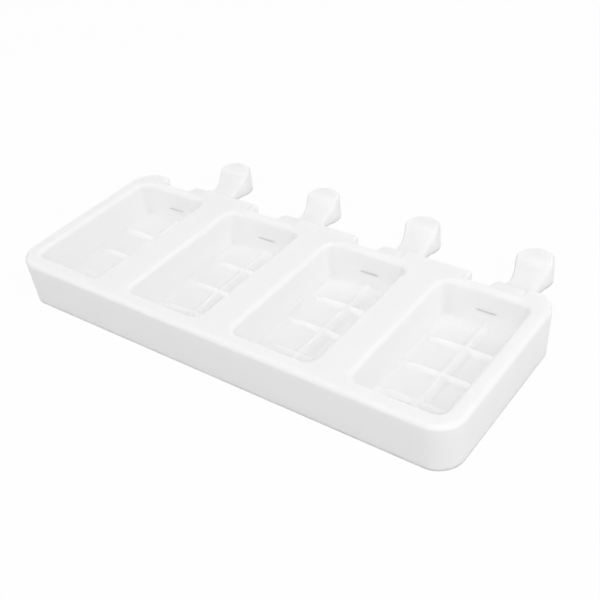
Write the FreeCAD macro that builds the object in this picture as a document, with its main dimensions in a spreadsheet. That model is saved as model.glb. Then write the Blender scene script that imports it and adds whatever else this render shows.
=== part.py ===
"""Four-cavity silicone mould for ice pops on sticks, as one parametric document.

The mould is a single moulding: a low rectangular block, hollow underneath, with four
bar-shaped cavities side by side.  Behind each cavity the back wall is notched down to a
thinner web, a flat slit in that web lets the stick in, and a tongue carries the stick's
free end at the height of the slit, with a finger scoop across it.

Frame: X along the row of cavities, Y from the front edge to the tongues, Z up.  The
origin lies on the standing plane, in the middle of the whole outline, tongues included.
All lengths are millimetres.
"""
import FreeCAD, Part
import math
import os

import Sketcher

DIMENSIONS = (
    ("cavity_count", 4, "cavities in the row"),
    ("cavity_pitch", 68.0, "from one cavity to the next"),
    ("cavity_width", 48.0, "cavity at the top face, along X"),
    ("cavity_length", 85.8, "cavity at the top face, along Y"),
    ("cavity_corner", 5.6, "corner radius of a cavity at the top face"),
    ("cavity_inset", 1.1, "how far the cavity walls lean in down to the floor"),
    ("cavity_heel", 3.2, "sloping heel between the cavity walls and the floor"),
    ("end_margin", 9.0, "top face between an end cavity and the end of the block"),
    ("front_rim", 9.2, "top face in front of the cavities"),
    ("back_rim", 13.0, "top face behind the cavities, beside the notches"),
    ("block_height", 27.0, "top face above the standing plane"),
    ("block_corner", 14.5, "corner radius of the block at the top face"),
    ("block_inset", 1.4, "how far the outer walls lean in down to the foot"),
    ("rim_radius", 2.4, "rounding of every edge of the top face"),
    ("skin", 3.0, "outer wall, top plate and cavity wall"),
    ("floor_thickness", 5.0, "silicone under the flat of a tablet"),
    ("ridge_rise", 2.6, "height of the ridges between the tablets"),
    ("ridge_foot", 9.0, "width of a ridge at the floor"),
    ("ridge_crest", 1.2, "width of a ridge at its crest"),
    ("ridge_pitch", 22.0, "from one cross ridge to the next"),
    ("cross_ridges", 3, "ridges across a cavity"),
    ("notch_width", 30.0, "notch in the back wall, along X"),
    ("notch_depth", 6.9, "notch in the back wall, along Y"),
    ("slit_width", 10.6, "slit for the stick"),
    ("slit_gap", 1.0, "height of the slit, which the stick opens to its own thickness"),
    ("stick_thickness", 2.0, "the stick that the mould takes"),
    ("tongue_height", 13.9, "top of the tongue, where the stick lies"),
    ("tongue_reach", 51.6, "tip of the tongue behind the block's back edge"),
    ("neck_width", 16.4, "straight middle of the tongue"),
    ("neck_start", 18.5, "where the neck begins, behind the block's back edge"),
    ("root_radius", 28.6, "sweep from the neck out to the notch"),
    ("pad_radius", 10.2, "round end of the tongue"),
    ("pad_sweep", 20.0, "sweep from the neck out to the round end"),
    ("tongue_edge", 1.2, "bevel of the tongue's upper edges"),
    ("scoop_place", 27.2, "middle of the finger scoop behind the block's back edge"),
    ("scoop_radius", 13.1, "finger scoop"),
    ("scoop_depth", 8.9, "finger scoop below the top of the tongue"),
    ("scoop_lip", 1.6, "bevel where the scoop meets the top of the tongue"),
)

SHEET = "Dimensions"
OVERLAP = 1.0        # how far a joined form runs on into the silicone that it grows from
TOLERANCE = 1.0e-3   # for finding edges by their place


class Size:
    """A length that knows its value and the sheet formula that gives it."""

    def __init__(self, value, text):
        self.value = value
        self.text = text

    @staticmethod
    def of(number):
        """Takes a plain number as it is, or a size unchanged."""
        if isinstance(number, Size):
            return number
        return Size(float(number), repr(float(number)))

    def __add__(self, other):
        other = Size.of(other)
        return Size(self.value + other.value, f"({self.text} + {other.text})")

    def __sub__(self, other):
        other = Size.of(other)
        return Size(self.value - other.value, f"({self.text} - {other.text})")

    def __mul__(self, other):
        other = Size.of(other)
        return Size(self.value * other.value, f"({self.text} * {other.text})")

    def __truediv__(self, other):
        other = Size.of(other)
        return Size(self.value / other.value, f"({self.text} / {other.text})")

    def __neg__(self):
        return Size(0.0, "0.0") - self

    def or_more(self, other):
        """The larger of two sizes."""
        return Size(max(self.value, other.value), f"max({self.text}; {other.text})")


document = FreeCAD.newDocument("ice_pop_mould")


def make_sheet():
    """Writes the driving dimensions into the sheet and returns them as sizes by name."""
    sheet = document.addObject("Spreadsheet::Sheet", SHEET)
    sizes = {}
    for row, (alias, number, words) in enumerate(DIMENSIONS, start=1):
        sheet.set(f"A{row}", words)
        sheet.set(f"B{row}", str(number))
        sheet.setAlias(f"B{row}", alias)
        sizes[alias] = Size(float(number), f"{SHEET}.{alias}")
    document.recompute()
    return sizes


size = make_sheet()

# Lengths and places that follow from the driving dimensions.
# The row ends with a margin beside the cavity, and far enough out for the notch to keep
# a straight back edge, as long as the outer wall is thick, before the round corner.
end_bay = size["cavity_width"] + size["end_margin"] * 2
end_notch = size["notch_width"] + (size["block_corner"] + size["skin"]) * 2
block_length = (size["cavity_count"] - 1) * size["cavity_pitch"] + end_bay.or_more(end_notch)
block_depth = size["front_rim"] + size["cavity_length"] + size["back_rim"]
front_edge = -(block_depth + size["tongue_reach"]) / 2
back_edge = front_edge + block_depth
block_middle = front_edge + block_depth / 2
cavity_middle = front_edge + size["front_rim"] + size["cavity_length"] / 2
cavity_back = cavity_middle + size["cavity_length"] / 2
notch_wall = back_edge - size["notch_depth"]
first_cavity = -(size["cavity_count"] - 1) * size["cavity_pitch"] / 2
slit_level = size["tongue_height"] + size["stick_thickness"] / 2


def bind(thing, path, length):
    """Ties a property of an object to the formula of a size."""
    thing.setExpression(path, length.text)


def plane(body, role):
    """Returns the origin plane of a body by its role, such as XY_Plane."""
    for feature in body.Origin.OriginFeatures:
        if feature.Role == role:
            return feature
    raise ValueError(f"{body.Name} has no {role}")


def new_sketch(body, name, role, height, across=None, along=None):
    """Adds a sketch on an origin plane of the body, shifted by sizes in that plane's frame."""
    sketch = body.newObject("Sketcher::SketchObject", name)
    sketch.AttachmentSupport = [(plane(body, role), "")]
    sketch.MapMode = "FlatFace"
    for axis, length in (("x", across), ("y", along), ("z", height)):
        if length is not None:
            bind(sketch, f".AttachmentOffset.Base.{axis}", length)
    return sketch


def fix(sketch, kind, *parts):
    """Adds one constraint; a size as the last part becomes a formula on that constraint."""
    if isinstance(parts[-1], Size):
        index = sketch.addConstraint(Sketcher.Constraint(kind, *parts[:-1], parts[-1].value))
        bind(sketch, f"Constraints[{index}]", parts[-1])
    else:
        sketch.addConstraint(Sketcher.Constraint(kind, *parts))


def rounded_rectangle(sketch, width, depth, corner):
    """Draws a rectangle with round corners about the origin of the sketch."""
    half_x = width.value / 2 - corner.value
    half_y = depth.value / 2 - corner.value
    reach = corner.value
    quarter = math.pi / 2
    centres = ((half_x, half_y), (-half_x, half_y), (-half_x, -half_y), (half_x, -half_y))
    arcs = []
    for turn, (x, y) in enumerate(centres):
        circle = Part.Circle(FreeCAD.Vector(x, y, 0), FreeCAD.Vector(0, 0, 1), reach)
        arcs.append(sketch.addGeometry(Part.ArcOfCircle(circle, turn * quarter, (turn + 1) * quarter)))
    sides = []
    for turn, (x, y) in enumerate(centres):
        next_x, next_y = centres[(turn + 1) % 4]
        out_x = reach * round(math.cos((turn + 1) * quarter))
        out_y = reach * round(math.sin((turn + 1) * quarter))
        start = FreeCAD.Vector(x + out_x, y + out_y, 0)
        end = FreeCAD.Vector(next_x + out_x, next_y + out_y, 0)
        sides.append(sketch.addGeometry(Part.LineSegment(start, end)))
    for turn in range(4):
        fix(sketch, "Tangent", arcs[turn], 2, sides[turn], 1)
        fix(sketch, "Tangent", sides[turn], 2, arcs[(turn + 1) % 4], 1)
        fix(sketch, "Horizontal" if turn % 2 == 0 else "Vertical", sides[turn])
    for turn in range(3):
        fix(sketch, "Equal", arcs[turn], arcs[turn + 1])
    fix(sketch, "Radius", arcs[0], corner)
    fix(sketch, "Symmetric", arcs[0], 3, arcs[2], 3, -1, 1)
    fix(sketch, "DistanceX", arcs[2], 3, arcs[0], 3, width - corner * 2)
    fix(sketch, "DistanceY", arcs[2], 3, arcs[0], 3, depth - corner * 2)


def rectangle(sketch, width, depth):
    """Draws a plain rectangle about the origin of the sketch."""
    half_x = width.value / 2
    half_y = depth.value / 2
    corners = ((half_x, half_y), (-half_x, half_y), (-half_x, -half_y), (half_x, -half_y))
    sides = []
    for turn, (x, y) in enumerate(corners):
        next_x, next_y = corners[(turn + 1) % 4]
        sides.append(sketch.addGeometry(Part.LineSegment(
            FreeCAD.Vector(x, y, 0), FreeCAD.Vector(next_x, next_y, 0))))
    for turn in range(4):
        fix(sketch, "Coincident", sides[turn], 2, sides[(turn + 1) % 4], 1)
        fix(sketch, "Horizontal" if turn % 2 == 0 else "Vertical", sides[turn])
    fix(sketch, "Symmetric", sides[0], 1, sides[1], 2, -1, 1)
    fix(sketch, "DistanceX", sides[0], 2, sides[0], 1, width)
    fix(sketch, "DistanceY", sides[1], 2, sides[1], 1, depth)


def leaning_block(body, name, kind, low, high, place, outline, inset):
    """Lofts a round-cornered rectangle from its full size at the top to an inset one below.

    low and high are the heights of the two outlines, place the X and Y of their middle,
    outline the width, depth and corner radius at the top.  The lower corners keep the
    middles of the upper ones, so every corner is part of an upright cone.
    """
    width, depth, corner = outline
    top = new_sketch(body, f"{name}_top", "XY_Plane", high, *place)
    rounded_rectangle(top, width, depth, corner)
    foot = new_sketch(body, f"{name}_foot", "XY_Plane", low, *place)
    rounded_rectangle(foot, width - inset * 2, depth - inset * 2, corner - inset)
    loft = body.newObject(kind, name)
    loft.Profile = top
    loft.Sections = [foot]
    loft.Ruled = True
    document.recompute()
    return loft


def repeat(body, name, originals, whole=False):
    """Repeats features, or the whole shape so far, at every cavity along X."""
    pattern = body.newObject("PartDesign::LinearPattern", name)
    if whole:
        pattern.TransformMode = "Whole shape"
    else:
        pattern.Originals = originals
    axis = [feature for feature in body.Origin.OriginFeatures if feature.Role == "X_Axis"][0]
    pattern.Direction = (axis, [""])
    pattern.Mode = "Spacing"
    bind(pattern, "Offset", size["cavity_pitch"])
    bind(pattern, "Occurrences", size["cavity_count"])
    body.Tip = pattern
    document.recompute()
    return pattern


def edge_names(shape, wanted):
    """Returns the names of the edges for which wanted(edge) holds."""
    return [f"Edge{index}" for index, edge in enumerate(shape.Edges, start=1) if wanted(edge)]


def fillet(body, name, base, names, radius):
    """Rounds named edges of a feature."""
    rounding = body.newObject("PartDesign::Fillet", name)
    rounding.Base = (base, names)
    bind(rounding, "Radius", radius)
    document.recompute()
    return rounding


def chamfer(body, name, base, names, width):
    """Bevels named edges of a feature evenly."""
    bevel = body.newObject("PartDesign::Chamfer", name)
    bevel.Base = (base, names)
    bind(bevel, "Size", width)
    document.recompute()
    return bevel


def pad(body, name, sketch, length):
    """Pads a sketch along its own normal."""
    feature = body.newObject("PartDesign::Pad", name)
    feature.Profile = sketch
    bind(feature, "Length", length)
    document.recompute()
    return feature


def pocket(body, name, sketch, length, both_ways=False, reverse=False):
    """Cuts a sketch into the body."""
    feature = body.newObject("PartDesign::Pocket", name)
    feature.Profile = sketch
    feature.Reversed = reverse
    if both_ways:
        feature.SideType = "Symmetric"
    bind(feature, "Length", length)
    document.recompute()
    return feature


def make_bars():
    """The frozen bars as solids: what the cavities leave free, tablets downwards."""
    body = document.addObject("PartDesign::Body", "bars")
    floor = size["floor_thickness"]
    outline = (size["cavity_width"], size["cavity_length"], size["cavity_corner"])
    bar = leaning_block(body, "bar", "PartDesign::AdditiveLoft", floor, size["block_height"],
                        (first_cavity, cavity_middle), outline, size["cavity_inset"])
    at_floor = edge_names(bar.Shape, lambda edge: edge.BoundBox.ZMax < floor.value + TOLERANCE)
    chamfer(body, "bar_heel", bar, at_floor, size["cavity_heel"])

    crosswise = new_sketch(body, "cross_groove_outline", "YZ_Plane", first_cavity)
    groove_profile(crosswise, cavity_middle - size["ridge_pitch"] * (size["cross_ridges"] - 1) / 2)
    cross = pocket(body, "cross_groove", crosswise, size["cavity_width"] + OVERLAP * 2, both_ways=True)
    grooves = body.newObject("PartDesign::LinearPattern", "cross_grooves")
    grooves.Originals = [cross]
    y_axis = [feature for feature in body.Origin.OriginFeatures if feature.Role == "Y_Axis"][0]
    grooves.Direction = (y_axis, [""])
    grooves.Mode = "Spacing"
    bind(grooves, "Offset", size["ridge_pitch"])
    bind(grooves, "Occurrences", size["cross_ridges"])
    body.Tip = grooves
    document.recompute()

    lengthwise = new_sketch(body, "long_groove_outline", "XZ_Plane", -cavity_middle)
    groove_profile(lengthwise, first_cavity)
    pocket(body, "long_groove", lengthwise, size["cavity_length"] + OVERLAP * 2, both_ways=True)
    repeat(body, "bar_row", None, whole=True)
    return body


def groove_profile(sketch, middle):
    """Draws the section of a groove between tablets, low on the bar's relief side.

    A narrow flat crest is met by two hollow flanks.  Each flank is an arc that leaves the
    floor level, so the middle of its circle stands straight above its foot.
    """
    low = size["floor_thickness"] - OVERLAP
    foot = size["ridge_foot"]
    crest = size["ridge_crest"]
    floor = size["floor_thickness"].value
    high = floor + size["ridge_rise"].value
    run = (foot.value - crest.value) / 2
    rise = size["ridge_rise"].value
    flank = (run ** 2 + rise ** 2) / (2 * rise)
    sweep = math.asin(run / flank)
    left, right = middle.value - foot.value / 2, middle.value + foot.value / 2

    base = sketch_line(sketch, (left, low.value), (right, low.value))
    right_side = sketch_line(sketch, (right, low.value), (right, floor))
    right_flank = sketch_arc(sketch, FreeCAD.Vector(right, floor + flank, 0), flank,
                             -math.pi / 2 - sweep, -math.pi / 2)
    top = sketch_line(sketch, (middle.value + crest.value / 2, high), (middle.value - crest.value / 2, high))
    left_flank = sketch_arc(sketch, FreeCAD.Vector(left, floor + flank, 0), flank,
                            -math.pi / 2, -math.pi / 2 + sweep)
    left_side = sketch_line(sketch, (left, floor), (left, low.value))

    fix(sketch, "Coincident", base, 2, right_side, 1)
    fix(sketch, "Coincident", right_side, 2, right_flank, 2)
    fix(sketch, "Coincident", right_flank, 1, top, 1)
    fix(sketch, "Coincident", top, 2, left_flank, 2)
    fix(sketch, "Coincident", left_flank, 1, left_side, 1)
    fix(sketch, "Coincident", left_side, 2, base, 1)
    fix(sketch, "Horizontal", base)
    fix(sketch, "Horizontal", top)
    fix(sketch, "Vertical", right_side)
    fix(sketch, "Vertical", left_side)
    fix(sketch, "Vertical", right_flank, 3, right_side, 2)
    fix(sketch, "Vertical", left_flank, 3, left_side, 1)
    fix(sketch, "DistanceX", base, 1, base, 2, foot)
    fix(sketch, "DistanceX", top, 2, top, 1, crest)
    fix(sketch, "DistanceX", -1, 1, base, 2, middle + foot / 2)
    fix(sketch, "DistanceX", -1, 1, top, 1, middle + crest / 2)
    fix(sketch, "DistanceY", -1, 1, base, 2, low)
    fix(sketch, "DistanceY", -1, 1, right_side, 2, size["floor_thickness"])
    fix(sketch, "DistanceY", -1, 1, left_side, 1, size["floor_thickness"])
    fix(sketch, "DistanceY", -1, 1, top, 1, size["floor_thickness"] + size["ridge_rise"])


def make_tongues():
    """The tongues that carry the sticks: waisted slabs with a round end and a finger scoop."""
    body = document.addObject("PartDesign::Body", "tongues")
    outline = new_sketch(body, "tongue_outline", "XY_Plane", None, first_cavity, back_edge)
    draw_tongue(outline)
    slab = pad(body, "tongue_slab", outline, size["tongue_height"])

    section = new_sketch(body, "scoop_section", "YZ_Plane", first_cavity)
    scoop_y = back_edge + size["scoop_place"]
    scoop_z = size["tongue_height"] - size["scoop_depth"] + size["scoop_radius"]
    circle = section.addGeometry(Part.Circle(
        FreeCAD.Vector(scoop_y.value, scoop_z.value, 0), FreeCAD.Vector(0, 0, 1), size["scoop_radius"].value))
    fix(section, "Radius", circle, size["scoop_radius"])
    fix(section, "DistanceX", -1, 1, circle, 3, scoop_y)
    fix(section, "DistanceY", -1, 1, circle, 3, scoop_z)
    scoop = pocket(body, "scoop", section, size["notch_width"] * 2, both_ways=True)
    if scoop.Shape.Volume > slab.Shape.Volume - TOLERANCE:
        raise ValueError("the finger scoop cuts nothing")

    lips = edge_names(scoop.Shape, lambda edge: is_flat_line(edge) and edge.CenterOfMass.z > TOLERANCE
                      and edge.CenterOfMass.y > back_edge.value)
    lip = chamfer(body, "scoop_lips", scoop, lips, size["scoop_lip"])
    visible = back_edge.value - size["block_inset"].value - OVERLAP + TOLERANCE
    rim = edge_names(lip.Shape, lambda edge: edge.BoundBox.ZMin > TOLERANCE and edge.BoundBox.YMax > visible
                     and not is_flat_line(edge))
    chamfer(body, "tongue_rim", lip, rim, size["tongue_edge"])
    repeat(body, "tongue_row", None, whole=True)
    return body


def draw_tongue(sketch):
    """Draws one tongue from above, the origin of the sketch on the block's back edge.

    From the notch the sides sweep in to the straight neck, then out again into the round
    end.  The sweeps touch the neck, and the outer ones touch the round end too.
    """
    half = size["neck_width"] / 2
    pad_y = size["tongue_reach"] - size["pad_radius"]
    sweep = size["pad_sweep"].value
    side_x = half.value + sweep
    neck_end = pad_y.value - math.sqrt((sweep + size["pad_radius"].value) ** 2 - side_x ** 2)
    touch = math.atan2(pad_y.value - neck_end, -side_x)
    root_y = -(size["block_inset"] + OVERLAP)
    base_y = -(size["notch_depth"] + OVERLAP)
    root = size["root_radius"].value
    root_x = half.value + root
    root_turn = math.asin((size["neck_start"] - root_y).value / root)
    edge_x = root_x - root * math.cos(root_turn)

    right = sketch_arc(sketch, FreeCAD.Vector(side_x, neck_end, 0), sweep, touch, math.pi)
    left = sketch_arc(sketch, FreeCAD.Vector(-side_x, neck_end, 0), sweep, 0.0, math.pi - touch)
    end = sketch_arc(sketch, FreeCAD.Vector(0, pad_y.value, 0), size["pad_radius"].value,
                     touch - math.pi, 2 * math.pi - touch)
    start = size["neck_start"].value
    right_root = sketch_arc(sketch, FreeCAD.Vector(root_x, start, 0), root, math.pi, math.pi + root_turn)
    left_root = sketch_arc(sketch, FreeCAD.Vector(-root_x, start, 0), root, -root_turn, 0.0)
    right_neck = sketch_line(sketch, (half.value, neck_end), (half.value, start))
    left_neck = sketch_line(sketch, (-half.value, start), (-half.value, neck_end))
    right_side = sketch_line(sketch, (edge_x, root_y.value), (edge_x, base_y.value))
    base = sketch_line(sketch, (edge_x, base_y.value), (-edge_x, base_y.value))
    left_side = sketch_line(sketch, (-edge_x, base_y.value), (-edge_x, root_y.value))

    fix(sketch, "Tangent", end, 1, right, 1)
    fix(sketch, "Tangent", end, 2, left, 2)
    fix(sketch, "Tangent", right, 2, right_neck, 1)
    fix(sketch, "Tangent", left, 1, left_neck, 2)
    fix(sketch, "Tangent", right_neck, 2, right_root, 1)
    fix(sketch, "Tangent", left_neck, 1, left_root, 2)
    fix(sketch, "Coincident", right_root, 2, right_side, 1)
    fix(sketch, "Coincident", right_side, 2, base, 1)
    fix(sketch, "Coincident", base, 2, left_side, 1)
    fix(sketch, "Coincident", left_side, 2, left_root, 1)
    for upright in (right_neck, left_neck, right_side, left_side):
        fix(sketch, "Vertical", upright)
    fix(sketch, "Horizontal", base)
    fix(sketch, "PointOnObject", end, 3, -2)
    fix(sketch, "Radius", end, size["pad_radius"])
    fix(sketch, "Radius", right, size["pad_sweep"])
    fix(sketch, "Radius", left, size["pad_sweep"])
    fix(sketch, "Radius", right_root, size["root_radius"])
    fix(sketch, "Radius", left_root, size["root_radius"])
    fix(sketch, "DistanceX", -1, 1, right_neck, 1, half)
    fix(sketch, "DistanceX", left_neck, 1, -1, 1, half)
    fix(sketch, "DistanceY", -1, 1, end, 3, pad_y)
    fix(sketch, "DistanceY", -1, 1, right_neck, 2, size["neck_start"])
    fix(sketch, "DistanceY", -1, 1, left_neck, 1, size["neck_start"])
    fix(sketch, "DistanceY", right_side, 1, -1, 1, -root_y)
    fix(sketch, "DistanceY", left_side, 2, -1, 1, -root_y)
    fix(sketch, "DistanceY", base, 1, -1, 1, -base_y)


def is_flat_line(edge):
    """Tells whether an edge is straight and runs along X."""
    return edge.Curve.TypeId == "Part::GeomLine" and edge.BoundBox.YLength + edge.BoundBox.ZLength < TOLERANCE


def sketch_line(sketch, start, end):
    """Adds a straight line between two points to a sketch."""
    return sketch.addGeometry(Part.LineSegment(FreeCAD.Vector(*start, 0), FreeCAD.Vector(*end, 0)))


def sketch_arc(sketch, centre, radius, start, end):
    """Adds an arc, anticlockwise from start to end, to a sketch."""
    circle = Part.Circle(centre, FreeCAD.Vector(0, 0, 1), radius)
    return sketch.addGeometry(Part.ArcOfCircle(circle, start, end))


def make_mould(bars, tongues):
    """The moulding itself: block, notches, hollow underside, cups, tongues, cavities and slits."""
    body = document.addObject("PartDesign::Body", "mould_body")
    middle = (Size(0.0, "0.0"), block_middle)
    ground = Size(0.0, "0.0")
    skin = size["skin"]
    block = leaning_block(body, "block", "PartDesign::AdditiveLoft", ground, size["block_height"], middle,
                          (block_length, block_depth, size["block_corner"]), size["block_inset"])

    notch_run = size["notch_depth"] + OVERLAP
    mouth = new_sketch(body, "notch_outline", "XY_Plane", None, first_cavity, notch_wall + notch_run / 2)
    rectangle(mouth, size["notch_width"], notch_run)
    notch = pocket(body, "notch", mouth, size["block_height"] + OVERLAP, reverse=True)
    if notch.Shape.Volume > block.Shape.Volume - TOLERANCE:
        raise ValueError("the notch cuts nothing")
    notches = repeat(body, "notches", [notch])

    top = size["block_height"].value
    brim = edge_names(notches.Shape, lambda edge: edge.BoundBox.ZMin > top - TOLERANCE)
    fillet(body, "outer_brim", notches, brim, size["rim_radius"])

    hollow_top = size["block_height"] - skin
    hollow_inset = size["block_inset"] + skin
    hollow = new_sketch(body, "hollow_outline", "XY_Plane", None, None, block_middle)
    rounded_rectangle(hollow, block_length - hollow_inset * 2, block_depth - hollow_inset * 2,
                      size["block_corner"] - hollow_inset)
    pocket(body, "hollow", hollow, hollow_top, reverse=True)

    cup_outline = new_sketch(body, "cup_outline", "XY_Plane", None, first_cavity, cavity_middle)
    rounded_rectangle(cup_outline, size["cavity_width"] + skin * 2, size["cavity_length"] + skin * 2,
                      size["cavity_corner"] + skin)
    cup = pad(body, "cup", cup_outline, hollow_top + OVERLAP)
    guard_front = cavity_back
    guard_back = back_edge - size["block_inset"] - OVERLAP
    guard_run = guard_back - guard_front
    web = new_sketch(body, "notch_web_outline", "XY_Plane", None, first_cavity, guard_front + guard_run / 2)
    rectangle(web, size["notch_width"] + skin * 2, guard_run)
    guard = pad(body, "notch_web", web, hollow_top + OVERLAP)
    clear = pocket(body, "notch_through_web", mouth, size["block_height"] + OVERLAP, reverse=True)
    repeat(body, "cups_and_webs", [cup, guard, clear])

    joined = body.newObject("PartDesign::Boolean", "with_tongues")
    joined.Type = "Fuse"
    joined.setObjects([tongues])
    document.recompute()
    opened = body.newObject("PartDesign::Boolean", "with_cavities")
    opened.Type = "Cut"
    opened.setObjects([bars])
    document.recompute()

    slit_start = cavity_back - size["cavity_inset"] - OVERLAP
    slit_run = notch_wall + OVERLAP - slit_start
    slit_outline = new_sketch(body, "slit_outline", "XZ_Plane", -slit_start, first_cavity, slit_level)
    rectangle(slit_outline, size["slit_width"], size["slit_gap"])
    slit = pocket(body, "slit", slit_outline, slit_run)
    if slit.Shape.Volume > opened.Shape.Volume - TOLERANCE:
        raise ValueError("the slit cuts nothing")
    slits = repeat(body, "slits", [slit])

    mouths = edge_names(slits.Shape, lambda edge: edge.BoundBox.ZMin > top - TOLERANCE
                        and is_cavity_mouth(edge))
    fillet(body, "cavity_brims", slits, mouths, size["rim_radius"])
    return body


def beside_cavity(x):
    """Returns how far a place along X lies from the middle of the nearest cavity."""
    along = x - first_cavity.value
    return abs(along - size["cavity_pitch"].value * round(along / size["cavity_pitch"].value))


def is_cavity_mouth(edge):
    """Tells whether an edge of the top face belongs to the mouth of a cavity."""
    half = size["cavity_length"].value / 2 + TOLERANCE
    box = edge.BoundBox
    within = beside_cavity(edge.CenterOfMass.x) < size["cavity_width"].value / 2 + TOLERANCE
    return within and box.YMin > cavity_middle.value - half and box.YMax < cavity_middle.value + half


def check_document():
    """Stops at any object that could not be worked out."""
    for thing in document.Objects:
        if "Invalid" in thing.State or "Error" in thing.State:
            raise RuntimeError(f"{thing.Name}: {thing.State} {thing.getStatusString()}")


bars = make_bars()
tongues = make_tongues()
mould = make_mould(bars, tongues)
document.recompute()
check_document()

os.makedirs("parts", exist_ok=True)
for part in (mould,):
    shape = part.Shape
    if shape.isNull() or not shape.isValid():
        raise RuntimeError(f"{part.Label} has no valid shape")
    if len(shape.Solids) != 1:
        raise RuntimeError(f"{part.Label} is {len(shape.Solids)} solids")
    shape.exportStep(f"parts/{part.Label}.step")
    box = shape.BoundBox
    print(f"{part.Label}: {box.XLength:.2f} x {box.YLength:.2f} x {box.ZLength:.2f} mm, "
          f"{shape.Volume / 1000:.1f} cm3, {len(shape.Faces)} faces")
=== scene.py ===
"""Studio picture of a white silicone ice pop mould with four cavities and stick tongues.

Everything is in metres in the mould's own frame: X along the row of cavities, Y from the
plain front towards the tongues, Z up, the origin on the standing plane.
"""
import logging
import math
from dataclasses import dataclass, field
from enum import Enum

import bpy
import numpy as np
from mathutils import Matrix, Vector


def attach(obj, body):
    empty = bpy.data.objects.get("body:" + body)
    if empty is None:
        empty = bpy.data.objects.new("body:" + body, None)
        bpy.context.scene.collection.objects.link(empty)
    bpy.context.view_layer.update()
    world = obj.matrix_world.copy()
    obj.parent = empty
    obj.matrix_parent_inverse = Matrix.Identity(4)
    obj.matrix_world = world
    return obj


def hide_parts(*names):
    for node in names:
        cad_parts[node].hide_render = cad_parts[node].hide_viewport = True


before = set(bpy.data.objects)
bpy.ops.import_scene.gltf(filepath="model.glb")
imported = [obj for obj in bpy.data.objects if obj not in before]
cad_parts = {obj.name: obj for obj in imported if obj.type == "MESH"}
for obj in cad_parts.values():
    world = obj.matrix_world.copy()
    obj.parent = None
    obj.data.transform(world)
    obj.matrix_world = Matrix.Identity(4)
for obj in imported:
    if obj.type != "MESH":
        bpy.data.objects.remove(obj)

log = logging.getLogger("ice_pop_mould")

MM = 0.001
NODE = "mould_body"
BODY = "root"
WHITE = (1.0, 1.0, 1.0, 1.0)
NOISE_MIDDLE = 0.5

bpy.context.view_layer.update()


def linked(name: str, data: bpy.types.ID) -> bpy.types.Object:
    """Makes an object of a mesh, lamp or camera and puts it into the scene.

    Args:
        name: the object's name.
        data: what the object shows.

    Returns:
        The object.
    """
    thing = bpy.data.objects.new(name, data)
    bpy.context.scene.collection.objects.link(thing)
    return thing


def direction(azimuth: float, elevation: float) -> Vector:
    """Gives the unit vector from the mould towards a side that is seen from the front.

    Args:
        azimuth: turn to the right of the front, in radians.
        elevation: rise over the standing plane, in radians.

    Returns:
        The vector (sin a cos e, -cos a cos e, sin e).
    """
    level = math.cos(elevation)
    return Vector((math.sin(azimuth) * level, -math.cos(azimuth) * level, math.sin(elevation)))


class Ray(Enum):
    """The kinds of rays that see the floor's own glow, as the Light Path node names them."""

    CAMERA = "Is Camera Ray"
    GLOSSY = "Is Glossy Ray"
    THROUGH = "Is Transmission Ray"


class Wire:
    """One output socket of a shader tree, with arithmetic that adds Math nodes."""

    def __init__(self, tree: "ShaderTree", socket: bpy.types.NodeSocket | None) -> None:
        """Keeps the tree and the socket, which only an output node lacks."""
        self.tree = tree
        self.socket = socket

    def _math(self, operation: str, first: "Wire | float", second: "Wire | float") -> "Wire":
        """Adds one Math node for an operation on two values."""
        return self.tree.node("ShaderNodeMath", {"operation": operation}, {0: first, 1: second})

    def __add__(self, other: "Wire | float") -> "Wire":
        """Sum."""
        return self._math("ADD", self, other)

    __radd__ = __add__

    def __sub__(self, other: "Wire | float") -> "Wire":
        """Difference."""
        return self._math("SUBTRACT", self, other)

    def __rsub__(self, other: float) -> "Wire":
        """Difference, the other way round."""
        return self._math("SUBTRACT", other, self)

    def __mul__(self, other: "Wire | float") -> "Wire":
        """Product."""
        return self._math("MULTIPLY", self, other)

    __rmul__ = __mul__

    def maximum(self, other: "Wire | float") -> "Wire":
        """The larger of two values."""
        return self._math("MAXIMUM", self, other)

    def ramp(self, low: float, high: float) -> "Wire":
        """Maps low..high smoothly onto 0..1, and holds the ends.

        Args:
            low: value at and below which the result is 0.
            high: value at and above which the result is 1.

        Returns:
            The mapped value.
        """
        settings = {"interpolation_type": "SMOOTHSTEP"}
        return self.tree.node("ShaderNodeMapRange", settings, {0: self, 1: low, 2: high})


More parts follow.
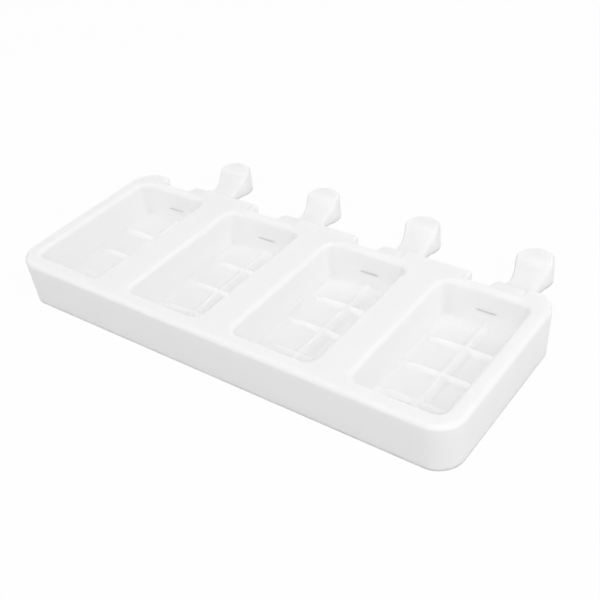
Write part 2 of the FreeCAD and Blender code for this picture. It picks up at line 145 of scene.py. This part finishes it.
class ShaderTree:
    """A material's or world's node tree, emptied and built up by one method."""

    def __init__(self, owner: bpy.types.ID) -> None:
        """Empties the node tree of a material or world."""
        owner.use_nodes = True
        self.tree = owner.node_tree
        self.tree.nodes.clear()

    def node(self, kind: str, settings: dict | None = None, inputs: dict | None = None,
             output: int | str = 0) -> Wire:
        """Adds a node.

        Args:
            kind: the node's type name.
            settings: attributes to set before anything is linked.
            inputs: values or wires, by socket name or number.
            output: which output the returned wire is.

        Returns:
            The chosen output as a wire.
        """
        node = self.tree.nodes.new(kind)
        for name, value in (settings or {}).items():
            setattr(node, name, value)
        for key, value in (inputs or {}).items():
            if isinstance(value, Wire):
                self.tree.links.new(value.socket, node.inputs[key])
            else:
                node.inputs[key].default_value = value
        return Wire(self, node.outputs[output] if node.outputs else None)

    def object_point(self) -> Wire:
        """The point on the piece, in metres in the mould's frame."""
        return self.node("ShaderNodeTexCoord", output="Object")

    def noise(self, point: Wire, grain: float, detail: float, roughness: float = 0.5) -> Wire:
        """Even noise with features of a given size.

        Args:
            point: where to read it.
            grain: size of a feature, in metres.
            detail: how many finer octaves are added.
            roughness: how strong the finer octaves are.

        Returns:
            A value about 0.5, from 0 to 1.
        """
        inputs = {"Vector": point, "Scale": 1.0 / grain, "Detail": detail, "Roughness": roughness}
        return self.node("ShaderNodeTexNoise", None, inputs)

    def colour_mix(self, share: Wire, first: Wire | tuple, second: Wire | tuple) -> Wire:
        """Blends two colours, through sockets that share their names and so go by number.

        Args:
            share: 0 gives the first colour, 1 the second.
            first: the one colour.
            second: the other colour.

        Returns:
            The blended colour.
        """
        inputs = {0: share, 6: first, 7: second}
        return self.node("ShaderNodeMix", {"data_type": "RGBA"}, inputs, output=2)


@dataclass(frozen=True)
class SiliconeFinish:
    """White moulded silicone: softly glossy, slightly see-into, with a fine skin texture.

    A grain is the size of a noise's features.  A band is the stretch of the noise over which
    its effect grows from nothing to full.
    """

    colour: tuple = (0.95, 0.95, 0.95, 1.0)
    cloud_colour: tuple = (0.943, 0.943, 0.943, 1.0)
    speck_colour: tuple = (0.72, 0.72, 0.71, 1.0)
    cloud_grain: float = 45.0 * MM
    cloud_band: tuple = (0.35, 0.70)
    cloud_share: float = 0.5
    flow_grain: float = 14.0 * MM
    flow_stretch: tuple = (0.35, 1.0, 1.0)
    flow_band: tuple = (0.45, 0.75)
    flow_share: float = 0.3
    speck_grain: float = 1.1 * MM
    speck_band: tuple = (0.80, 0.86)
    speck_share: float = 0.35
    speck_roughness: float = 0.1
    roughness: float = 0.60
    roughness_swing: float = 0.10
    skin_grain: float = 0.35 * MM
    skin_height: float = 0.006 * MM
    wave_grain: float = 22.0 * MM
    wave_height: float = 0.04 * MM
    refraction: float = 1.41
    see_into: float = 1.0
    see_into_reach: float = 2.5 * MM

    def material(self) -> bpy.types.Material:
        """Builds the material.

        Returns:
            A material whose colour, roughness and bump vary over the object's own coordinates.
        """
        material = bpy.data.materials.new("white_silicone")
        tree = ShaderTree(material)
        point = tree.object_point()
        clouds = tree.noise(point, self.cloud_grain, detail=3.0).ramp(*self.cloud_band)
        stretched = tree.node("ShaderNodeMapping", None,
                              {"Vector": point, "Scale": self.flow_stretch})
        flow = tree.noise(stretched, self.flow_grain, detail=4.0, roughness=0.6)
        specks = tree.noise(point, self.speck_grain, detail=1.0).ramp(*self.speck_band)
        veil = clouds * self.cloud_share + flow.ramp(*self.flow_band) * self.flow_share
        pale = tree.colour_mix(veil, self.colour, self.cloud_colour)
        colour = tree.colour_mix(specks * self.speck_share, pale, self.speck_colour)
        roughness = (self.roughness + (flow - NOISE_MIDDLE) * self.roughness_swing
                     + specks * self.speck_roughness)
        skin = tree.noise(point, self.skin_grain, detail=2.0, roughness=0.6)
        wave = tree.noise(point, self.wave_grain, detail=1.0)
        height = skin * self.skin_height + wave * self.wave_height
        normal = tree.node("ShaderNodeBump", None,
                           {"Height": height, "Strength": 1.0, "Distance": 1.0})
        shader = tree.node("ShaderNodeBsdfPrincipled", {"subsurface_method": "RANDOM_WALK"}, {
            "Base Color": colour, "Roughness": roughness, "Normal": normal,
            "IOR": self.refraction, "Subsurface Weight": self.see_into,
            "Subsurface Scale": self.see_into_reach, "Subsurface Radius": (1.0, 1.0, 1.0)})
        tree.node("ShaderNodeOutputMaterial", None, {"Surface": shader})
        return material


@dataclass
class CavityFloor:
    """The floor of one cavity: soft ridges between the tablets and a round heel at the walls.

    Each wall leans in by lean over the cavity's height, and its heel starts heel_run along
    the wall above the floor.  The ridges are highest on their crest lines.
    """

    middle_y: float = -27.7 * MM
    top_level: float = 27.0 * MM
    floor_level: float = 5.0 * MM
    top_half_width: float = 24.0 * MM
    top_half_length: float = 42.9 * MM
    top_corner: float = 5.6 * MM
    lean: float = 1.1 * MM
    heel_run: float = 3.2 * MM
    heel_steps: int = 10
    corner_steps: int = 11
    ridge_rise: float = 2.6 * MM
    long_reach: float = 4.5 * MM
    cross_reach: float = 3.0 * MM
    crest_softness: float = 1.15 * MM
    ends_from: float = 12.0 * MM
    ends_sink: float = 0.8
    cross_places: tuple = (-22.0 * MM, 0.0, 22.0 * MM)
    crest_lines: tuple = tuple(
        step * MM for step in (0.0, 0.3, 0.6, 0.95, 1.4, 2.0, 2.8, 3.7, 4.6))
    even_step: float = 1.3 * MM
    line_gap: float = 0.5 * MM
    side_gap: float = 0.3 * MM
    line_digits: int = 7
    slack: float = 0.01 * MM
    heel_rise: float = field(init=False)
    corner: float = field(init=False)
    flat_x: float = field(init=False)
    flat_y: float = field(init=False)

    def __post_init__(self) -> None:
        """Works out the outline of the walls where the heel starts."""
        height = self.top_level - self.floor_level
        self.heel_rise = self.heel_run * height / math.hypot(height, self.lean)
        inset = self.lean * (height - self.heel_rise) / height
        self.corner = self.top_corner - inset
        self.flat_x = self.top_half_width - self.top_corner
        self.flat_y = self.top_half_length - self.top_corner

    def spread(self, half: float, crests: tuple) -> np.ndarray:
        """Places grid lines along one direction, close together near the crests.

        Args:
            half: the lines run from -half to half.
            crests: where the crest lines lie.

        Returns:
            The rising places of the grid lines.
        """
        near, middles = np.array(self.crest_lines), np.array(crests)
        lines = (middles[:, None] + np.concatenate([near, -near])[None, :]).ravel()
        even = np.linspace(-half, half, max(2, round(half / self.even_step)))
        clear = np.abs(even[:, None] - middles[None, :]).min(axis=1) > near[-1] + self.line_gap
        inside = np.abs(lines) < half - self.side_gap
        lines = np.concatenate([lines[inside], even[clear], [-half, half]])
        return np.unique(np.round(lines, self.line_digits))

    def relief(self, x: np.ndarray, y: np.ndarray, heel: np.ndarray) -> np.ndarray:
        """Height over the floor: ridges joined to each other and to the heel.

        A ridge is rise (1 - u)^2, where u runs from 0 on the crest line to 1 at its reach and
        is rounded off over the crest's softness.  A cross ridge sinks towards its ends by
        ends_sink s^2 (3 - 2 s), where s runs from 0 at ends_from to 1 at the wall.  Two
        heights a and b under a common top T join as T (1 - (1 - a/T)(1 - b/T)).

        Args:
            x: places across the cavity.
            y: places along the cavity.
            heel: height of the heel there.

        Returns:
            The heights.
        """
        def ridge(distance: np.ndarray, reach: float) -> np.ndarray:
            """Share of the full rise at a distance from the crest line."""
            soft = self.crest_softness
            full = math.hypot(reach, soft) - soft
            return (1.0 - np.clip((np.hypot(distance, soft) - soft) / full, 0.0, 1.0)) ** 2

        to_wall = (np.abs(x) - self.ends_from) / (self.flat_x + self.corner - self.ends_from)
        share = np.clip(to_wall, 0.0, 1.0)
        sunk = 1.0 - self.ends_sink * share ** 2 * (3.0 - 2.0 * share)
        nearest = np.abs(y[..., None] - np.array(self.cross_places)).min(axis=-1)
        across = ridge(nearest, self.cross_reach) * sunk
        along = ridge(np.abs(x), self.long_reach)
        ridges = self.ridge_rise * (1.0 - (1.0 - across) * (1.0 - along))
        left_over = (1.0 - heel / self.heel_rise) * (1.0 - ridges / self.heel_rise)
        return self.heel_rise * (1.0 - left_over)

    def outline(self, xs: np.ndarray, ys: np.ndarray) -> tuple[np.ndarray, np.ndarray, np.ndarray]:
        """Walks once round the cavity, along each side and then round the corner after it.

        Args:
            xs: places of the grid lines across the cavity.
            ys: places of the grid lines along the cavity.

        Returns:
            For each point of the walk: where it lies when the corners have no radius, the
            direction in which a radius moves it, and whether the wall has a point there too.
        """
        turns = np.linspace(0.0, math.pi / 2, self.corner_steps + 1)[1:-1]
        sides = ((np.full(ys.size, self.flat_x), ys),
                 (xs[::-1], np.full(xs.size, self.flat_y)),
                 (np.full(ys.size, -self.flat_x), ys[::-1]),
                 (xs, np.full(xs.size, -self.flat_y)))
        cores, outs, ends = [], [], []
        for quarter, (side_x, side_y) in enumerate(sides):
            facing = quarter * math.pi / 2
            angle = np.concatenate([np.full(side_x.size, facing), turns + facing])
            core_x = np.concatenate([side_x, np.full(turns.size, side_x[-1])])
            core_y = np.concatenate([side_y, np.full(turns.size, side_y[-1])])
            cores.append(np.stack([core_x, core_y], axis=1))
            outs.append(np.stack([np.cos(angle), np.sin(angle)], axis=1))
            on_wall = np.ones(angle.size, dtype=bool)
            on_wall[1:side_x.size - 1] = False
            ends.append(on_wall)
        return np.concatenate(cores), np.concatenate(outs), np.concatenate(ends)

    def triangles(self, fixed: np.ndarray, across: int, along: int) -> np.ndarray:
        """Numbers the triangles between the rings and those of the grid inside them.

        Args:
            fixed: which points of the outermost ring the wall has too.
            across: how many grid lines lie across the cavity.
            along: how many grid lines lie along the cavity.

        Returns:
            The triangles, with the rings' points numbered before the grid's.
        """
        count = fixed.size
        here = np.arange(count)
        after = (here + 1) % count
        owner = self.nearest_fixed(fixed)
        strips = [np.stack([owner, owner[after], after + count], axis=1),
                  np.stack([owner, after + count, here + count], axis=1)]
        for row in range(1, self.heel_steps):
            low, high = row * count, (row + 1) * count
            strips.append(np.stack([here + low, after + low, after + high], axis=1))
            strips.append(np.stack([here + low, after + high, here + high], axis=1))
        first = (self.heel_steps + 1) * count
        number = first + np.arange(across * along).reshape(across, along)
        a, b, c, d = number[:-1, :-1], number[1:, :-1], number[1:, 1:], number[:-1, 1:]
        strips.append(np.stack([a, b, c], axis=2).reshape(-1, 3))
        strips.append(np.stack([a, c, d], axis=2).reshape(-1, 3))
        return np.concatenate(strips)

    def surface(self, middle_x: float) -> tuple[np.ndarray, np.ndarray, np.ndarray]:
        """Works out the floor as rings down the heel and a grid inside the last ring.

        A ring is the path of inner corners and sides, moved outwards by (corner - d).  The
        heel is a quarter ellipse: d = corner (1 - cos t) and height = rise (1 - sin t).

        Args:
            middle_x: middle of the cavity across the row.

        Returns:
            Points, triangles, and the numbers of the outermost points that the wall has too.
        """
        xs, ys = self.spread(self.flat_x, (0.0,)), self.spread(self.flat_y, self.cross_places)
        core, out, fixed = self.outline(xs, ys)
        tilt = np.linspace(0.0, math.pi / 2, self.heel_steps + 1)
        inward = self.corner * (1.0 - np.cos(tilt))
        heel = self.heel_rise * (1.0 - np.sin(tilt))
        ring = core[None] + (self.corner - inward)[:, None, None] * out[None]
        level = self.relief(ring[..., 0], ring[..., 1], heel[:, None])
        grid_x, grid_y = np.meshgrid(xs, ys, indexing="ij")
        inner = self.relief(grid_x, grid_y, np.zeros_like(grid_x))
        points = np.concatenate([np.concatenate([ring, level[..., None]], axis=2).reshape(-1, 3),
                                 np.stack([grid_x, grid_y, inner], axis=2).reshape(-1, 3)])
        points += np.array([middle_x, self.middle_y, self.floor_level])
        return points, self.triangles(fixed, xs.size, ys.size), np.flatnonzero(fixed)

    @staticmethod
    def nearest_fixed(fixed: np.ndarray) -> np.ndarray:
        """Gives each point of a closed ring the nearest of the ring's kept points.

        Args:
            fixed: which points are kept.

        Returns:
            The number of the kept point for each point.
        """
        count = fixed.size
        kept = np.flatnonzero(fixed)
        apart = (np.arange(count)[:, None] - kept[None, :] + count // 2) % count - count // 2
        return kept[np.abs(apart).argmin(axis=1)]

    def holds(self, points: np.ndarray, middle_x: float) -> np.ndarray:
        """Tells which points of the solid lie on its floor, its ridges and its heel.

        Args:
            points: the solid's points.
            middle_x: middle of the cavity across the row.

        Returns:
            A truth value for each point.
        """
        middle = np.array([middle_x, self.middle_y, self.floor_level + self.heel_rise / 2])
        limit = np.array([self.flat_x + self.corner, self.flat_y + self.corner, self.heel_rise / 2])
        return (np.abs(points - middle) < limit + self.slack).all(axis=1)


@dataclass
class MouldSkin:
    """The whole moulding as one smooth skin, with soft corners where the solid has small flats."""

    node: str = NODE
    cavity_middles: tuple = (-102.0 * MM, -34.0 * MM, 34.0 * MM, 102.0 * MM)
    slit_level: float = 14.9 * MM
    slit_half: float = 0.5 * MM
    slit_half_width: float = 5.3 * MM
    slit_closes: float = 0.41 * MM
    slit_front: float = 13.0 * MM
    slit_back: float = 22.0 * MM
    level_slack: float = 0.02 * MM
    side_slack: float = 0.1 * MM
    merge_within: float = 0.002 * MM
    smooth_under: float = math.radians(52.0)
    flat_weight: int = 60
    floor: CavityFloor = field(default_factory=CavityFloor)
    finish: SiliconeFinish = field(default_factory=SiliconeFinish)

    def solid_skin(self) -> tuple[np.ndarray, np.ndarray]:
        """Copies the solid's loose triangles and joins the points that they share.

        Returns:
            Points and triangles.
        """
        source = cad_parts[self.node]
        corners = np.empty(len(source.data.vertices) * 3)
        source.data.vertices.foreach_get("co", corners)
        corners = corners.reshape(-1, 3)
        triangles = np.empty(len(source.data.loops), dtype=np.int64)
        source.data.loops.foreach_get("vertex_index", triangles)
        return self.joined(corners, triangles.reshape(-1, 3))

    def joined(self, points: np.ndarray, faces: np.ndarray) -> tuple[np.ndarray, np.ndarray]:
        """Joins points that lie together and leaves out triangles that close up.

        Args:
            points: the points.
            faces: triangles between them.

        Returns:
            The points that are left and the triangles between them.
        """
        grid = np.round(points / self.merge_within).astype(np.int64)
        first, shared = np.unique(grid, axis=0, return_index=True, return_inverse=True)[1:]
        faces = shared.reshape(-1)[faces]
        a, b, c = faces.T
        return points[first], faces[(a != b) & (b != c) & (c != a)]

    def close_slits(self, points: np.ndarray) -> None:
        """Brings the two lips of each slit closer together, as a cut in soft silicone lies.

        Args:
            points: the skin's points, of which the lips' are moved.
        """
        rise = points[:, 2] - self.slit_level
        beside = np.abs(points[:, :1] - np.array(self.cavity_middles)[None, :]).min(axis=1)
        lips = np.abs(np.abs(rise) - self.slit_half) < self.level_slack
        lips &= beside < self.slit_half_width + self.side_slack
        lips &= (points[:, 1] > self.slit_front) & (points[:, 1] < self.slit_back)
        points[lips, 2] -= np.sign(rise[lips]) * self.slit_closes
        log.info("slit lips: %d points", int(lips.sum()))

    def dressed(self) -> tuple[np.ndarray, np.ndarray]:
        """Puts the soft floors into the solid's skin in place of its own.

        Returns:
            Points and triangles of the whole skin.
        """
        points, faces = self.solid_skin()
        self.close_slits(points)
        for middle_x in self.cavity_middles:
            old = self.floor.holds(points, middle_x)
            faces = faces[~old[faces].all(axis=1)]
            soft, strips, rim = self.floor.surface(middle_x)
            apart = np.linalg.norm(points[None, :, :] - soft[rim][:, None, :], axis=2)
            log.info("floor rim lies within %.4f mm of the wall", apart.min(axis=1).max() / MM)
            soft[rim] = points[apart.argmin(axis=1)]
            faces = np.concatenate([faces, strips + len(points)])
            points = np.concatenate([points, soft])
        return self.joined(points, faces)

    def build(self) -> bpy.types.Object:
        """Builds the skin and shades it smooth across soft edges.

        Returns:
            The skin, which stands for the solid.
        """
        points, faces = self.dressed()
        mesh = bpy.data.meshes.new("mould_skin")
        mesh.from_pydata(points.tolist(), [], faces.tolist())
        mesh.validate()
        mesh.polygons.foreach_set("use_smooth", np.ones(len(mesh.polygons), dtype=bool))
        mesh.set_sharp_from_angle(angle=self.smooth_under)
        skin = linked("mould_skin", mesh)
        flats = skin.modifiers.new("large faces stay flat", "WEIGHTED_NORMAL")
        flats.mode = "FACE_AREA"
        flats.weight = self.flat_weight
        flats.keep_sharp = True
        skin.data.materials.append(self.finish.material())
        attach(skin, BODY)
        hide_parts(self.node)
        return skin


@dataclass(frozen=True)
class Softbox:
    """A square lamp that faces the mould; its angles are in degrees."""

    name: str
    azimuth: float
    elevation: float
    watts: float
    distance: float = 1.8
    side: float = 1.2

    def place(self, target: Vector) -> bpy.types.Object:
        """Hangs the lamp on a sphere about the target, facing it.

        Args:
            target: the point that the lamp faces.

        Returns:
            The lamp.
        """
        lamp = bpy.data.lights.new(self.name, "AREA")
        lamp.shape = "SQUARE"
        lamp.size = self.side
        lamp.energy = self.watts
        thing = linked(self.name, lamp)
        away = direction(math.radians(self.azimuth), math.radians(self.elevation))
        thing.location = target + away * self.distance
        thing.rotation_euler = away.to_track_quat("Z", "Y").to_euler()
        return thing


@dataclass
class Studio:
    """Pale floor, bright surround, soft lamps and the camera at the photograph's angle."""

    target: tuple = (0.0, -26.0 * MM, 0.0)
    floor_half: float = 6.0
    floor_colour: tuple = (0.80, 0.80, 0.80, 1.0)
    floor_glow: float = 0.955
    surround: float = 0.36
    camera_azimuth: float = math.radians(39.7375)
    camera_elevation: float = math.radians(36.5338)
    camera_roll: float = math.radians(-6.4691)
    camera_distance: float = 518.8 * MM
    camera_right: float = 13.7 * MM
    camera_up: float = 9.5 * MM
    lens: float = 59.25
    sensor_width: float = 36.0
    lamps: tuple = (
        Softbox("right_high_lamp", 90.0, 38.0, 7.6),
        Softbox("front_right_top_lamp", 45.0, 64.0, 6.3),
        Softbox("front_high_lamp", 0.0, 38.0, 6.1),
        Softbox("back_low_lamp", 180.0, 12.0, 4.4),
        Softbox("left_back_high_lamp", 225.0, 38.0, 4.2),
        Softbox("right_low_lamp", 90.0, 12.0, 4.1),
        Softbox("left_front_high_lamp", 315.0, 38.0, 4.2),
        Softbox("back_high_lamp", 180.0, 38.0, 2.2),
    )

    def build(self) -> None:
        """Builds floor, surround, lamps and camera."""
        self.build_floor()
        self.build_surround()
        for lamp in self.lamps:
            lamp.place(Vector(self.target))
            log.info("lamp %s", lamp.name)
        self.build_camera()

    def build_floor(self) -> None:
        """Lays a square floor on the standing plane, which lights the mould as plain paper.

        Rays from the camera, off gloss and through glass see mostly its even glow instead.
        """
        across = np.array([-1.0, 1.0, 1.0, -1.0]) * self.floor_half
        along = np.array([-1.0, -1.0, 1.0, 1.0]) * self.floor_half
        corners = np.stack([across, along, np.zeros(4)], axis=1)
        mesh = bpy.data.meshes.new("studio_floor")
        mesh.from_pydata(corners.tolist(), [], [(0, 1, 2, 3)])
        floor = linked("studio_floor", mesh)
        material = bpy.data.materials.new("studio_floor")
        tree = ShaderTree(material)
        seen = self.seen_directly(tree)
        paper = tree.node("ShaderNodeBsdfDiffuse", None, {"Color": self.floor_colour})
        glow = tree.node("ShaderNodeEmission", None, {"Color": WHITE, "Strength": 1.0})
        both = tree.node("ShaderNodeMixShader", None,
                         {0: seen * self.floor_glow, 1: paper, 2: glow})
        tree.node("ShaderNodeOutputMaterial", None, {"Surface": both})
        mesh.materials.append(material)

    def seen_directly(self, tree: ShaderTree) -> Wire:
        """Tells rays that show the floor from those that carry light.

        Args:
            tree: the floor's shader tree.

        Returns:
            1 for rays from the camera, off gloss or through glass, and 0 for the rest.
        """
        rays = [tree.node("ShaderNodeLightPath", output=kind.value) for kind in Ray]
        return rays[0].maximum(rays[1]).maximum(rays[2])

    def build_surround(self) -> None:
        """Makes the world white to look at and an even soft light otherwise."""
        world = bpy.data.worlds.new("studio_surround")
        bpy.context.scene.world = world
        tree = ShaderTree(world)
        camera_sees = tree.node("ShaderNodeLightPath", output=Ray.CAMERA.value)
        strength = camera_sees * (1.0 - self.surround) + self.surround
        light = tree.node("ShaderNodeBackground", None, {"Color": WHITE, "Strength": strength})
        tree.node("ShaderNodeOutputWorld", None, {"Surface": light})

    def build_camera(self) -> None:
        """Sets the camera on its sphere about the target, rolled and slid in its own plane.

        back points from the target to the camera, right and up span the picture plane; the
        roll turns right and up about back.
        """
        turn, roll = self.camera_azimuth, self.camera_roll
        back = direction(turn, self.camera_elevation)
        level = Vector((math.cos(turn), math.sin(turn), 0.0))
        above = back.cross(level)
        right = level * math.cos(roll) + above * math.sin(roll)
        up = above * math.cos(roll) - level * math.sin(roll)
        lens = bpy.data.cameras.new("photo_camera")
        lens.sensor_width = self.sensor_width
        lens.lens = self.lens
        camera = linked("photo_camera", lens)
        slide = right * self.camera_right + up * self.camera_up
        place = Vector(self.target) + slide + back * self.camera_distance
        turned = Matrix((right, up, back)).transposed().to_4x4()
        camera.matrix_world = Matrix.Translation(place) @ turned
        bpy.context.scene.camera = camera


def main() -> None:
    """Builds the dressed mould and its studio."""
    logging.basicConfig(level=logging.INFO, format="%(message)s")
    bpy.context.scene.view_settings.view_transform = "Standard"
    skin = MouldSkin().build()
    log.info("piece %s: %d faces", skin.name, len(skin.data.polygons))
    Studio().build()


if __name__ == "__main__":
    main()
